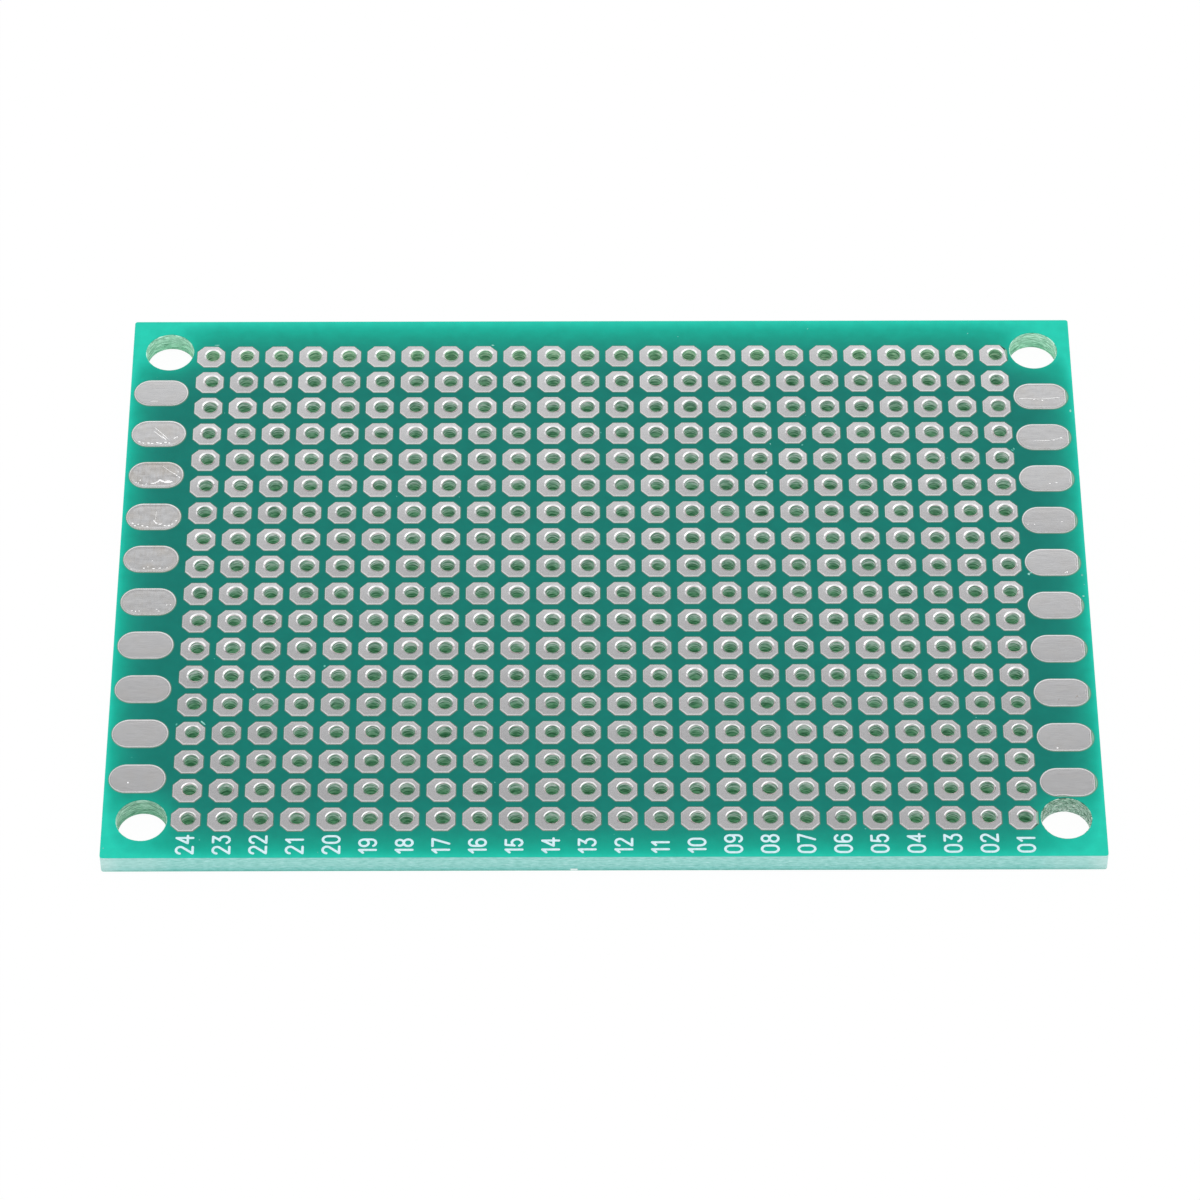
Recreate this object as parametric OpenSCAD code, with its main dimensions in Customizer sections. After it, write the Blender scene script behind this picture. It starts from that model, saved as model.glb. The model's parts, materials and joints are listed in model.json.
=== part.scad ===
// Prototype board: a drilled glass-epoxy sheet with tinned copper pads on its
// top side, under a green solder mask on both sides. The origin is at the
// middle of the underside, X runs along the board's length, Y towards its
// back and Z up. The front is the side with the column numbers, from 01 at
// the right to 24 at the left. All sizes are in millimetres.

/* [Board] */
// Length of the board, along X
board_l = 70; // [50:0.5:150]
// Width of the board, along Y
board_w = 50; // [30:0.5:100]
// Finished thickness, over both coats of mask
board_thk = 1.6; // [0.8:0.1:2.4]
// Radius of the routed corners
corner_r = 0.2; // [0.1:0.05:2]

/* [Mounting holes] */
// Diameter of the four mounting holes
mount_d = 3.5; // [2.5:0.1:4.3]
// From the short sides to the centres of the holes
mount_side = 2.75; // [2.4:0.05:6]
// From the front side to the centres of the front holes
mount_front = 3.25; // [2.4:0.05:6]
// From the back side to the centres of the back holes
mount_back = 3.05; // [2.4:0.05:6]

/* [Lead holes] */
// Pitch of the lead holes and their pads
pitch = 2.54; // [2:0.02:5.08]
// Diameter of the drilled lead holes
lead_d = 1; // [0.7:0.05:1.3]
// How far the drill ran off the pads' centres, along X
drill_off_x = 0.15; // [-0.2:0.01:0.2]
// How far the drill ran off the pads' centres, along Y
drill_off_y = 0.12; // [-0.2:0.01:0.2]

/* [Pads] */
// Width of the mask between two neighbouring pads
pad_gap = 0.45; // [0.2:0.05:0.8]
// Length of each cut corner along the pad's sides
pad_cut = 0.53; // [0.2:0.01:0.7]
// How far the grid's centre lies off the board's middle, along X
grid_off_x = 0.04; // [-0.2:0.01:0.2]
// How far the grid's centre lies off the board's middle, along Y
grid_off_y = -0.11; // [-0.2:0.01:0.2]
// Least space from the grid to the front and back sides
grid_margin = 2.2; // [1:0.1:6]

/* [Edge pads] */
// Length of each long pad, along X
edge_l = 4; // [3:0.1:8]
// Width of each long pad, along Y
edge_w = 2.5; // [1.5:0.1:3.5]
// Pitch of the long pads, along Y
edge_pitch = 4; // [3:0.1:6]
// From the left side to the left pads
edge_left = 0.29; // [0.2:0.01:3]
// From the right side to the right pads
edge_right = 0.45; // [0.2:0.01:3]
// Middle of the left row of pads, from the board's middle
edge_left_y = -0.1; // [-1:0.01:1]
// Middle of the right row of pads, from the board's middle
edge_right_y = -0.61; // [-1:0.01:1]
// Least space from a long pad to the grid
edge_gap = 0.25; // [0.2:0.01:2]

/* [Coats] */
// Thickness of the copper foil
copper_thk = 0.035; // [0.018:0.001:0.07]
// Thickness of the tin at a pad's rim
tin_rim = 0.01; // [0.005:0.001:0.02]
// Thickness of the tin on the rest of the pad
tin_crown = 0.025; // [0.022:0.001:0.05]
// Width of a pad's thin rim
rim_w = 0.1; // [0.05:0.01:0.2]
// How far the tin slopes down into a lead hole
lip_w = 0.14; // [0.05:0.01:0.18]
// Thickness of the mask over the copper
mask_over = 0.015; // [0.01:0.001:0.03]
// Thickness of the mask on the underside
mask_under = 0.03; // [0.02:0.001:0.06]

/* [Mask] */
// How far the mask stays back from a drilled hole's edge
mask_back = 0.05; // [0.02:0.01:0.15]
// Width of the mask's ring round a mounting hole
mask_ring = 0.2; // [0.1:0.01:0.5]
// Width of the mask's border along the short sides
mask_border = 0.37; // [0.3:0.01:1]
// How far the mask was printed off to the left
mask_off = 0.17; // [0:0.01:0.2]

/* [Hidden] */
$fn = 48;
// Overshoot of a cutting shape past what it cuts
over = 0.1;

// Heights of the layers, counted from the underside
mask_thk = copper_thk + mask_over;
z_sheet = mask_under;
z_copper = board_thk - mask_thk;
z_tin = z_copper + copper_thk;
z_rim = z_tin + tin_rim;
z_crown = z_tin + tin_crown;

// Mounting holes, and the least space that copper keeps from them
mount_x = board_l / 2 - mount_side;
mount_y = [mount_front - board_w / 2, board_w / 2 - mount_back];
mounts = [for (x = [-mount_x, mount_x], y = mount_y) [x, y]];
copper_clear = 0.1;
ring_r = mount_d / 2 + mask_ring;

// Centres of the two rows of long pads, [x, middle of the row]
edge_rows = [
    [-board_l / 2 + edge_left + edge_l / 2, edge_left_y],
    [board_l / 2 - edge_right - edge_l / 2, edge_right_y]
];
// As many pads as lie between the mounting holes, an even count about the middle
edge_most = 2 * floor(board_w / edge_pitch / 2);
edge_reach = mount_d / 2 + copper_clear + edge_w / 2;
function edge_ys(mid) = [
    for (k = [0 : edge_most - 1])
    let (y = mid + ((edge_most - 1) / 2 - k) * edge_pitch)
    if (y - mount_y[0] >= edge_reach && mount_y[1] - y >= edge_reach) y
];
left_ys = edge_ys(edge_rows[0][1]);
right_ys = edge_ys(edge_rows[1][1]);

// The grid: as many columns and rows as the board has room for
pad_w = pitch - pad_gap;
grid_room = edge_rows[1][0] - edge_rows[0][0] - edge_l - 2 * edge_gap;
columns = floor((grid_room - pad_w) / pitch) + 1;
rows = floor((board_w - 2 * grid_margin - pad_w) / pitch) + 1;
function column_x(n) = grid_off_x + ((columns + 1) / 2 - n) * pitch;
function row_y(n) = grid_off_y + ((rows + 1) / 2 - n) * pitch;
function clear_of_mounts(x, y) =
    min([for (m = mounts) norm([x, y] - m)]) >= mount_d / 2 + copper_clear + pad_w / 2;
// Rows of one column that have a pad, counted from the back
function column_rows(n) = [
    for (r = [1 : rows]) if (clear_of_mounts(column_x(n), row_y(r))) row_y(r)
];

// Where the mask starts along the short sides, and its rings' centres
mask_left = -board_l / 2 + mask_border - mask_off;
mask_right = board_l / 2 - mask_border - mask_off;
rings = [for (m = mounts) m - [mask_off, 0]];
function near_ring(x, y, c, reach) = norm([x, y] - c) < ring_r + reach;
// Whether the mask comes over a pad that reaches so far from its centre
function partly_hidden(x, y, reach) =
    x + reach > mask_right || x - reach < mask_left
    || len([for (c = rings) if (near_ring(x, y, c, reach)) c]) > 0;

function two_digits(n) = str(n < 10 ? "0" : "", n);
function numbered(name, count) = [for (n = [1 : count]) str(name, two_digits(n))];

// The board's outline with its routed corners, as a slab between two heights
module slab(z0, z1) {
    x = board_l / 2 - corner_r;
    y = board_w / 2 - corner_r;
    translate([0, 0, z0]) linear_extrude(z1 - z0) union() {
        square([2 * x, board_w], center = true);
        square([board_l, 2 * y], center = true);
        for (sx = [-x, x], sy = [-y, y]) translate([sx, sy]) circle(corner_r);
    }
}

// Every drilled hole, wider all round by the given amount
module drilled(wider, z0, z1) {
    for (m = mounts) translate([m[0], m[1], z0]) cylinder(r = mount_d / 2 + wider, h = z1 - z0);
    for (n = [1 : columns], y = column_rows(n))
        translate([column_x(n) + drill_off_x, y + drill_off_y, z0])
        cylinder(r = lead_d / 2 + wider, h = z1 - z0, $fn = 24);
}

// Outline of a grid pad: a square with cut corners, smaller all round by inset
module octagon(inset) {
    h = pad_w / 2 - inset;
    k = h - pad_cut + inset * (2 - sqrt(2));
    polygon([[h, k], [k, h], [-k, h], [-h, k], [-h, -k], [-k, -h], [k, -h], [h, -k]]);
}

// Outline of a long pad: a straight bar with round ends, smaller by inset
module oval(inset) {
    bar = edge_l - edge_w;
    square([bar, edge_w - 2 * inset], center = true);
    for (x = [-bar / 2, bar / 2]) translate([x, 0]) circle(edge_w / 2 - inset);
}

// What the mask hides of a pad centred at x, y that reaches so far to each side
module covered(x, y, reach, inset) {
    for (c = rings) if (near_ring(x, y, c, reach))
        translate([c[0], c[1], 0]) cylinder(r = ring_r + inset, h = board_thk + over);
    if (x + reach > mask_right)
        translate([mask_right - inset, y - reach, 0]) cube([reach, 2 * reach, board_thk + over]);
    if (x - reach < mask_left)
        translate([mask_left + inset - reach, y - reach, 0])
        cube([reach, 2 * reach, board_thk + over]);
}

// The bare window of the mask over a pad whose outline is the child
module window(x, y, reach, z0, z1, inset = 0) {
    difference() {
        translate([x, y, z0]) linear_extrude(z1 - z0) children();
        covered(x, y, reach, inset);
    }
}

// Foil with the whole outline, tin in the window, thicker inside its thin rim.
// The first child is the outline, the second the outline inside the rim.
module tinned(x, y, reach) {
    translate([x, y, z_copper]) linear_extrude(copper_thk) children(0);
    window(x, y, reach, z_tin, z_rim) children(0);
    window(x, y, reach, z_tin, z_crown, rim_w) children(1);
}

// The drilled hole through a pad, with the tin sloping down to the foil's edge
module lipped_hole(x, y) {
    slope = lip_w / (z_crown - z_copper);
    translate([x, y, z_copper - over])
    cylinder(r = lead_d / 2, h = 2 * over, $fn = 24);
    translate([x, y, z_copper])
    cylinder(r1 = lead_d / 2, r2 = lead_d / 2 + lip_w + slope * over, h = z_crown - z_copper + over, $fn = 24);
}

module grid_pad(x, y) {
    difference() {
        tinned(x, y, pad_w / 2) {
            octagon(0);
            octagon(rim_w);
        }
        lipped_hole(x + drill_off_x, y + drill_off_y);
    }
}

module edge_pad(x, y) {
    tinned(x, y, edge_l / 2) {
        oval(0);
        oval(rim_w);
    }
}

module pad_column(n) {
    color("silver") for (y = column_rows(n)) grid_pad(column_x(n), y);
}

module edge_row_pad(side, y) {
    color("silver") edge_pad(edge_rows[side][0], y);
}

// The glass-epoxy sheet with all its holes
module laminate() {
    color("darkseagreen") difference() {
        slab(z_sheet, z_copper);
        drilled(0, z_sheet - over, z_copper + over);
    }
}

// Top coat: open over the pads and round the mounting holes, and closed over
// the ends of foil that its rings and borders reach
module top_mask() {
    color("lightseagreen") difference() {
        slab(z_copper, board_thk);
        for (m = mounts) translate([m[0], m[1], z_copper - over])
            cylinder(r = mount_d / 2 + mask_back, h = mask_thk + 2 * over);
        for (n = [1 : columns], y = column_rows(n)) mask_seat(column_x(n), y, pad_w / 2) octagon(0);
        for (y = left_ys) mask_seat(edge_rows[0][0], y, edge_l / 2) oval(0);
        for (y = right_ys) mask_seat(edge_rows[1][0], y, edge_l / 2) oval(0);
    }
}

// What a pad takes out of the mask: its foil, and the window above it
module mask_seat(x, y, reach) {
    if (partly_hidden(x, y, reach)) {
        translate([x, y, z_copper - over]) linear_extrude(copper_thk + over) children();
        window(x, y, reach, z_tin, board_thk + over) children();
    } else {
        translate([x, y, z_copper - over]) linear_extrude(mask_thk + 2 * over) children();
    }
}

// Bottom coat, set back from the edge of every hole
module underside_mask() {
    color("lightseagreen") difference() {
        slab(0, z_sheet);
        drilled(mask_back, -over, z_sheet + over);
    }
}

laminate();
top_mask();
underside_mask();
for (n = [1 : columns])
    pad_column(n);
for (n = [1 : len(left_ys)])
    edge_row_pad(0, left_ys[n - 1]);
for (n = [1 : len(right_ys)])
    edge_row_pad(1, right_ys[n - 1]);
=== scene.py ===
import json
import math
import random

import bmesh
import bpy
from mathutils import Matrix, Vector
from mathutils.geometry import delaunay_2d_cdt

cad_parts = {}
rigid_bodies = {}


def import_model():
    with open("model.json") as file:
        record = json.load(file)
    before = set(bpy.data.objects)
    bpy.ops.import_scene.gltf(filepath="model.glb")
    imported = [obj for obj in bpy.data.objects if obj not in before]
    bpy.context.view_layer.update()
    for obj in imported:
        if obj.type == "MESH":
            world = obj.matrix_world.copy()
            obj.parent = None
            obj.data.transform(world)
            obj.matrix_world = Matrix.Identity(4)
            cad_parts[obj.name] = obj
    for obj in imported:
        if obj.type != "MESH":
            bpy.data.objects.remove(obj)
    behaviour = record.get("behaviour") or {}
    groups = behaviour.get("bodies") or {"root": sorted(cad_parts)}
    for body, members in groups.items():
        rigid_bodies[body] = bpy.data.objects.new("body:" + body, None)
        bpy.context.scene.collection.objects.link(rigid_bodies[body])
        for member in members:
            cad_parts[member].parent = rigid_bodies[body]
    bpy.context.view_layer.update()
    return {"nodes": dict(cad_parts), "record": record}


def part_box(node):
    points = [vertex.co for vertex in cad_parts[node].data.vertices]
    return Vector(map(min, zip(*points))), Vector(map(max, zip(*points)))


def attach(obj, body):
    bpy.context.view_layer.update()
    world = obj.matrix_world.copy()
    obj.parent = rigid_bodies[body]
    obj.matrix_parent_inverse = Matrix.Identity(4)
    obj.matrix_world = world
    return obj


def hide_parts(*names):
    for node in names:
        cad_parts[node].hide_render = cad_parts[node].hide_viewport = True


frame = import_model()

# One millimetre, in the frame's metres
MM = 0.001
# Millimetres in one of the frame's metres, for patterns that are sized in millimetres
TO_MM = 1000.0

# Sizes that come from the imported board
top_mask_low, top_mask_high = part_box("top_mask")
BOARD_X = top_mask_high.x
BOARD_Y = top_mask_high.y
SHEET_TOP = top_mask_low.z
MASK_TOP = top_mask_high.z
columns = sorted(n for n in frame["nodes"] if n.startswith("pad_column_"))
left_pads = sorted(n for n in frame["nodes"] if n.startswith("edge_pad_left_"))
right_pads = sorted(n for n in frame["nodes"] if n.startswith("edge_pad_right_"))
column_low, column_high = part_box(columns[0])
PAD_WIDTH = column_high.x - column_low.x
PAD_TOP = column_high.z
PITCH = column_high.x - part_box(columns[1])[1].x
ROWS = round((column_high.y - column_low.y - PAD_WIDTH) / PITCH) + 1
FIRST_X = (column_low.x + column_high.x) / 2
FIRST_Y = column_high.y - PAD_WIDTH / 2
long_low, long_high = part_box(left_pads[0])
LONG_LENGTH = long_high.x - long_low.x
LONG_WIDTH = long_high.y - long_low.y
# The long pads are printed longer at each end and wider all round, and further out, by this much
LONG_MORE = 0.015 * MM
LONG_GROW = 0.03 * MM
LONG_OUT = 0.02 * MM
# They are a touch nearer the back as well
LONG_BACK = 0.01 * MM
mounts = {m["name"]: m for m in frame["record"]["mounts"]}
bolts = mounts["mounting_holes"]
MOUNT_R = bolts["dims"]["hole_r_mm"] * MM
MOUNT_X = bolts["dims"]["spacing_x_mm"] * MM / 2
MOUNT_Y = bolts["dims"]["spacing_y_mm"] * MM / 2
MOUNT_MIDDLE_Y = bolts["pos_m"][1]
lead = mounts["lead_hole_back_right"]
LEAD_R = lead["dims"]["r_mm"] * MM
DRILL_OFF = Vector((lead["pos_m"][0] - FIRST_X, lead["pos_m"][1] - FIRST_Y, 0))

# Sizes that the board's source gives: the pads, and the windows of the mask
PAD_CUT = 0.53 * MM
FOIL = 0.035 * MM
TIN_RIM = 0.01 * MM
RIM_WIDTH = 0.1 * MM
LIP_WIDTH = 0.14 * MM
MASK_RING = 0.2 * MM
MASK_BORDER = 0.37 * MM
MASK_OFF = 0.17 * MM
WINDOW_RING = MOUNT_R + MASK_RING
WINDOW_RIGHT = BOARD_X - MASK_BORDER - MASK_OFF
RIM_TOP = SHEET_TOP + FOIL + TIN_RIM
# The tin climbs from its rim to its crown over this width
CROWN_STEP = 0.04 * MM
# A long pad's crown, low enough for beads of tin to stand on it
LONG_TOP = PAD_TOP - 0.003 * MM
LONG_EASE = 0.004 * MM
LONG_RIM = LONG_TOP - 0.007 * MM
LONG_RIM_WIDTH = 0.12 * MM
# Marks a point of a pad that is far from the outline or from the hole
FAR = 1.0 * MM


def linear(code):
    """An sRGB hex colour as linear red, green, blue and alpha."""
    parts = [int(code[i : i + 2], 16) / 255 for i in (0, 2, 4)]
    return [c / 12.92 if c <= 0.04045 else ((c + 0.055) / 1.055) ** 2.4 for c in parts] + [1.0]


def fill(tree, node, inputs):
    """Sets or links a node's inputs, by name or number."""
    for key, value in inputs.items():
        if isinstance(value, bpy.types.NodeSocket):
            tree.links.new(value, node.inputs[key])
        else:
            node.inputs[key].default_value = value


def add(tree, kind, inputs=None, stops=(), **settings):
    """Adds a node with its settings and inputs, gives a colour ramp its (place, hex colour)
    stops, and returns the node's outputs."""
    made = tree.nodes.new(kind)
    for name, value in settings.items():
        setattr(made, name, value)
    fill(tree, made, inputs or {})
    for number, (place, code) in enumerate(stops):
        if number >= 2:
            made.color_ramp.elements.new(1.0)
        made.color_ramp.elements[number].position = place
        made.color_ramp.elements[number].color = linear(code)
    return made.outputs


def new_material(name):
    """A material with its node tree, its shader and the coordinates in millimetres."""
    material = bpy.data.materials.new(name)
    material.use_nodes = True
    tree = material.node_tree
    shader = tree.nodes["Principled BSDF"]
    place = add(tree, "ShaderNodeTexCoord")["Object"]
    mm = add(tree, "ShaderNodeVectorMath", {0: place, "Scale": TO_MM}, operation="SCALE")[0]
    return material, tree, shader, mm


def mottled(tree, place, noise, stops, **mapping):
    """A noise pattern in a ramp's colours, and the pattern alone. It may be stretched and turned."""
    if mapping:
        place = add(tree, "ShaderNodeMapping", {"Vector": place, **mapping})[0]
    pattern = add(tree, "ShaderNodeTexNoise", {"Vector": place, **noise})["Fac"]
    return add(tree, "ShaderNodeValToRGB", {"Fac": pattern}, stops)[0], pattern


def shaded(tree, colour, value, stops):
    """A colour multiplied by a ramp's colours, which follow a value."""
    shade = add(tree, "ShaderNodeValToRGB", {"Fac": value}, stops)[0]
    return add(
        tree, "ShaderNodeMix", {0: 1.0, 6: colour, 7: shade}, data_type="RGBA", blend_type="MULTIPLY"
    )[2]


def plain_material(name, noise, stops, finish):
    """A material that is mottled and no more, with its finish."""
    material, tree, shader, mm = new_material(name)
    colour, _ = mottled(tree, mm, noise, stops)
    fill(tree, shader, {"Base Color": colour, **finish})
    return material


def new_group(name, sockets):
    """A Geometry Nodes tree with named inputs, and those inputs as it sees them."""
    tree = bpy.data.node_groups.new(name, "GeometryNodeTree")
    tree.interface.new_socket("Geometry", in_out="OUTPUT", socket_type="NodeSocketGeometry")
    tree.interface.new_socket("Geometry", in_out="INPUT", socket_type="NodeSocketGeometry")
    for label, kind in sockets.items():
        tree.interface.new_socket(label, in_out="INPUT", socket_type="NodeSocket" + kind)
    return tree, add(tree, "NodeGroupInput")


def set_on(tree, points, shape, more):
    """Sets a shape on every point, as real geometry."""
    placed = add(tree, "GeometryNodeInstanceOnPoints", {"Points": points, "Instance": shape, **more})[0]
    return add(tree, "GeometryNodeRealizeInstances", {"Geometry": placed})[0]


def set_picked(tree, points, collection, label, more):
    """Sets on every point the shape of a collection that the point's own number picks."""
    number = add(tree, "GeometryNodeInputNamedAttribute", {"Name": label}, data_type="FLOAT")[0]
    pick = add(tree, "FunctionNodeFloatToInt", {0: number})[0]
    shapes = add(
        tree, "GeometryNodeCollectionInfo",
        {"Collection": collection, "Separate Children": True, "Reset Children": True}
    )[0]
    return set_on(tree, points, shapes, {"Pick Instance": True, "Instance Index": pick, **more})


def end_group(tree, shapes, finish):
    """Ends a Geometry Nodes tree: its shapes get their finish and go out."""
    finished = add(tree, "GeometryNodeSetMaterial", {"Geometry": shapes, "Material": finish})[0]
    add(tree, "NodeGroupOutput", {0: finished})
    return tree


def grown(name, source, tree, values):
    """The plain mesh object that a Geometry Nodes tree grows from a source mesh."""
    piece = bpy.data.objects.new(name, source)
    bpy.context.scene.collection.objects.link(piece)
    modifier = piece.modifiers.new(name, "NODES")
    modifier.node_group = tree
    for item in tree.interface.items_tree:
        if item.in_out == "INPUT" and item.name in values:
            modifier[item.identifier] = values[item.name]
    bpy.context.view_layer.update()
    depsgraph = bpy.context.evaluated_depsgraph_get()
    evaluated = piece.evaluated_get(depsgraph)
    mesh = bpy.data.meshes.new_from_object(evaluated, preserve_all_data_layers=True, depsgraph=depsgraph)
    piece.modifiers.remove(modifier)
    piece.data = mesh
    bpy.data.meshes.remove(source)
    mesh.name = name
    return piece


def shape_collection(name, meshes):
    """A collection of shapes for a tree to pick from, which the scene doesn't show."""
    collection = bpy.data.collections.new(name)
    for number, mesh in enumerate(meshes):
        collection.objects.link(bpy.data.objects.new(f"{name}_{number:02d}", mesh))
    return collection


def clear_shapes(collection):
    """Removes a collection of shapes once a tree has used them."""
    for shape in list(collection.objects):
        bpy.data.objects.remove(shape)
    bpy.data.collections.remove(collection)


# Materials


def laminate_material():
    """FR-4, woven glass in epoxy, sawn at the sides and drilled: pale green,
    with the plies as fine level streaks, and milky where the drill has frayed them."""
    material, tree, shader, mm = new_material("fr4_glass_epoxy")
    # Plies lie level, so the pattern is long in the plane and short in height
    sawn, _ = mottled(
        tree, mm, {"Scale": 1.6, "Detail": 3.0, "Roughness": 0.65},
        [(0.3, "82C6BE"), (0.5, "9AD8D1"), (0.62, "A9E0DB"), (0.75, "CBF0EE")], Scale=(1.1, 1.1, 4.0)
    )
    # The yarns that the drill cut across, about 0.25 mm wide, and their ends in a wider bore
    drilled, yarns = mottled(
        tree, mm, {"Scale": 1.3, "Detail": 2.0, "Distortion": 0.4},
        [(0.4, "7DA992"), (0.48, "B0D5C2"), (0.54, "CFECDC"), (0.61, "FFFFFF")], Scale=(0.9, 0.9, 7.5),
        Rotation=(0.16, 0.12, 0.0)
    )
    bored, _ = mottled(
        tree, mm, {"Scale": 1.6, "Detail": 3.0, "Roughness": 0.7, "Distortion": 0.9},
        [(0.36, "64957C"), (0.45, "97C9B2"), (0.55, "B7E0CB"), (0.64, "EAFFF5")], Scale=(0.9, 0.9, 6.5),
        Rotation=(0.14, 0.16, 0.0)
    )
    # The front right mounting hole is torn the most, with splinters of glass that cross
    torn, _ = mottled(
        tree, mm, {"Scale": 1.4, "Detail": 3.0, "Roughness": 0.75, "Distortion": 1.2},
        [(0.42, "3F6352"), (0.48, "97C6AE"), (0.53, "C1E2D1"), (0.6, "FFFFFF")], Scale=(1.9, 1.9, 9.0),
        Rotation=(0.3, 0.3, 0.0)
    )
    # Painted shade: deep in a lead hole the wall is painted darker and greener, and at its mouth it is
    # greyer
    parts = add(tree, "ShaderNodeSeparateXYZ", {0: mm})
    side_x = add(tree, "ShaderNodeMath", {0: parts["X"]}, operation="ABSOLUTE")[0]
    side_y = add(tree, "ShaderNodeMath", {0: parts["Y"]}, operation="ABSOLUTE")[0]
    height = add(tree, "ShaderNodeMath", {0: parts["Z"], 1: SHEET_TOP * TO_MM}, operation="DIVIDE")[0]
    depth = add(
        tree, "ShaderNodeValToRGB", {"Fac": height},
        [(0.3, "BAF0CF"), (0.54, "CEF3DB"), (0.77, "FDFFFF"), (0.97, "FDF9FB"), (1.0, "D6C0C4")]
    )[0]
    # Daylight comes through the sheet into the rows that are nearest the back
    from_back = add(
        tree, "ShaderNodeMath", {0: BOARD_Y * TO_MM, 1: parts["Y"]}, operation="SUBTRACT"
    )[0]
    lit = glow(tree, from_back, 1.2, 11.0)
    depth = add(tree, "ShaderNodeMix", {0: lit, 6: depth, 7: linear("EAFFE8")}, data_type="RGBA")[2]
    lead_wall = add(
        tree, "ShaderNodeMix", {0: 1.0, 6: drilled, 7: depth}, data_type="RGBA", blend_type="MULTIPLY"
    )[2]
    # A mounting hole's wall is greener, with painted light that makes it lighter at the back of the board
    daylight = add(
        tree, "ShaderNodeMapRange",
        {"Value": parts["Y"], "From Min": -20.0, "From Max": 20.0, "To Min": 1.0, "To Max": 1.22}
    )[0]
    # Painted shade darkens a bored wall towards the bottom of its hole
    bored = shaded(tree, bored, height, [(0.05, "C7E6D8"), (0.5, "EEF8F3"), (1.0, "FFFFFF")])
    # Painted shade darkens the torn wall towards its top
    torn = shaded(tree, torn, height, [(0.3, "FFFFFF"), (0.9, "E2EDE6")])
    front = add(tree, "ShaderNodeMath", {0: parts["Y"], 1: 0.0}, operation="LESS_THAN")[0]
    right = add(tree, "ShaderNodeMath", {0: parts["X"], 1: 0.0}, operation="GREATER_THAN")[0]
    right = add(tree, "ShaderNodeMath", {0: right, 1: front}, operation="MULTIPLY")[0]
    bored = add(tree, "ShaderNodeMix", {0: right, 6: bored, 7: torn}, data_type="RGBA")[2]
    bored = add(tree, "ShaderNodeVectorMath", {0: bored, "Scale": daylight}, operation="SCALE")[0]
    from_mount = hole_distance(tree, mm)
    skin = 0.1
    near_mount = add(tree, "ShaderNodeMath", {0: from_mount, 1: skin}, operation="LESS_THAN")[0]
    walls = add(tree, "ShaderNodeMix", {0: near_mount, 6: lead_wall, 7: bored}, data_type="RGBA")[2]
    # Painted shade darkens the sawn sides towards the underside, and they are paler near the board's
    # corners
    sawn = shaded(
        tree, sawn, height,
        [(0.0, "8FBFB8"), (0.05, "CCE6E3"), (0.19, "E4F8F8"), (0.32, "F7FBFB"), (0.6, "FFFFFF")]
    )
    reach = add(tree, "ShaderNodeMath", {0: side_x, 1: BOARD_X * TO_MM}, operation="DIVIDE")[0]
    paler = add(
        tree, "ShaderNodeValToRGB", {"Fac": reach},
        [(0.857, "000000"), (0.9, "595959"), (0.957, "595959"), (0.99, "909090")]
    )[0]
    sawn = add(tree, "ShaderNodeMix", {0: paler, 6: sawn, 7: linear("FFFFFF")}, data_type="RGBA")[2]
    # A small white nick in the lower front edge
    nick_x = add(tree, "ShaderNodeMath", {0: parts["X"], 1: 2.1}, operation="ADD")[0]
    nick_x = add(tree, "ShaderNodeMath", {0: nick_x}, operation="ABSOLUTE")[0]
    nick_x = add(tree, "ShaderNodeMapRange", {"Value": nick_x, "From Min": 0.3, "From Max": 0.2})[0]
    nick_z = add(
        tree, "ShaderNodeMapRange", {"Value": parts["Z"], "From Min": 0.26, "From Max": 0.16}
    )[0]
    nick = front
    for share in (nick_x, nick_z):
        nick = add(tree, "ShaderNodeMath", {0: nick, 1: share}, operation="MULTIPLY")[0]
    sawn = add(tree, "ShaderNodeMix", {0: nick, 6: sawn, 7: linear("F2FBFA")}, data_type="RGBA")[2]
    # 1 on the sawn sides, 0 on the walls of the holes
    past_x = add(
        tree, "ShaderNodeMath", {0: side_x, 1: BOARD_X * TO_MM - skin}, operation="GREATER_THAN"
    )[0]
    past_y = add(
        tree, "ShaderNodeMath", {0: side_y, 1: BOARD_Y * TO_MM - skin}, operation="GREATER_THAN"
    )[0]
    outside = add(tree, "ShaderNodeMath", {0: past_x, 1: past_y}, operation="MAXIMUM")[0]
    colour = add(tree, "ShaderNodeMix", {0: outside, 6: walls, 7: sawn}, data_type="RGBA")[2]
    bump = add(tree, "ShaderNodeBump", {"Height": yarns, "Strength": 0.35, "Distance": 0.02 * MM})[0]
    fill(tree, shader, {"Base Color": colour, "Normal": bump, "Roughness": 0.6})
    fill(tree, shader, {"IOR": 1.5, "Specular IOR Level": 0.25})
    return material


def hole_distance(tree, mm):
    """How far a point is from the edge of the nearest mounting hole, in millimetres."""
    # All four holes fold onto one by symmetry
    shifted = add(
        tree, "ShaderNodeVectorMath", {0: mm, 1: (0, -MOUNT_MIDDLE_Y * TO_MM, 0)}, operation="ADD"
    )[0]
    folded = add(tree, "ShaderNodeVectorMath", {0: shifted}, operation="ABSOLUTE")[0]
    level = add(tree, "ShaderNodeVectorMath", {0: folded, 1: (1, 1, 0)}, operation="MULTIPLY")[0]
    centre = add(
        tree, "ShaderNodeVectorMath", {0: level, 1: (MOUNT_X * TO_MM, MOUNT_Y * TO_MM, 0)},
        operation="DISTANCE"
    )["Value"]
    return add(tree, "ShaderNodeMath", {0: centre, 1: MOUNT_R * TO_MM}, operation="SUBTRACT")[0]


def glow(tree, distance, length, strength):
    """Light that the sheet lets through: strength at an edge, falling off over a length in millimetres."""
    power = add(
        tree, "ShaderNodeMath", {0: distance, 1: -1 / length, 2: math.log(strength)},
        operation="MULTIPLY_ADD"
    )[0]
    return add(tree, "ShaderNodeMath", {0: power}, operation="EXPONENT")[0]


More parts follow.
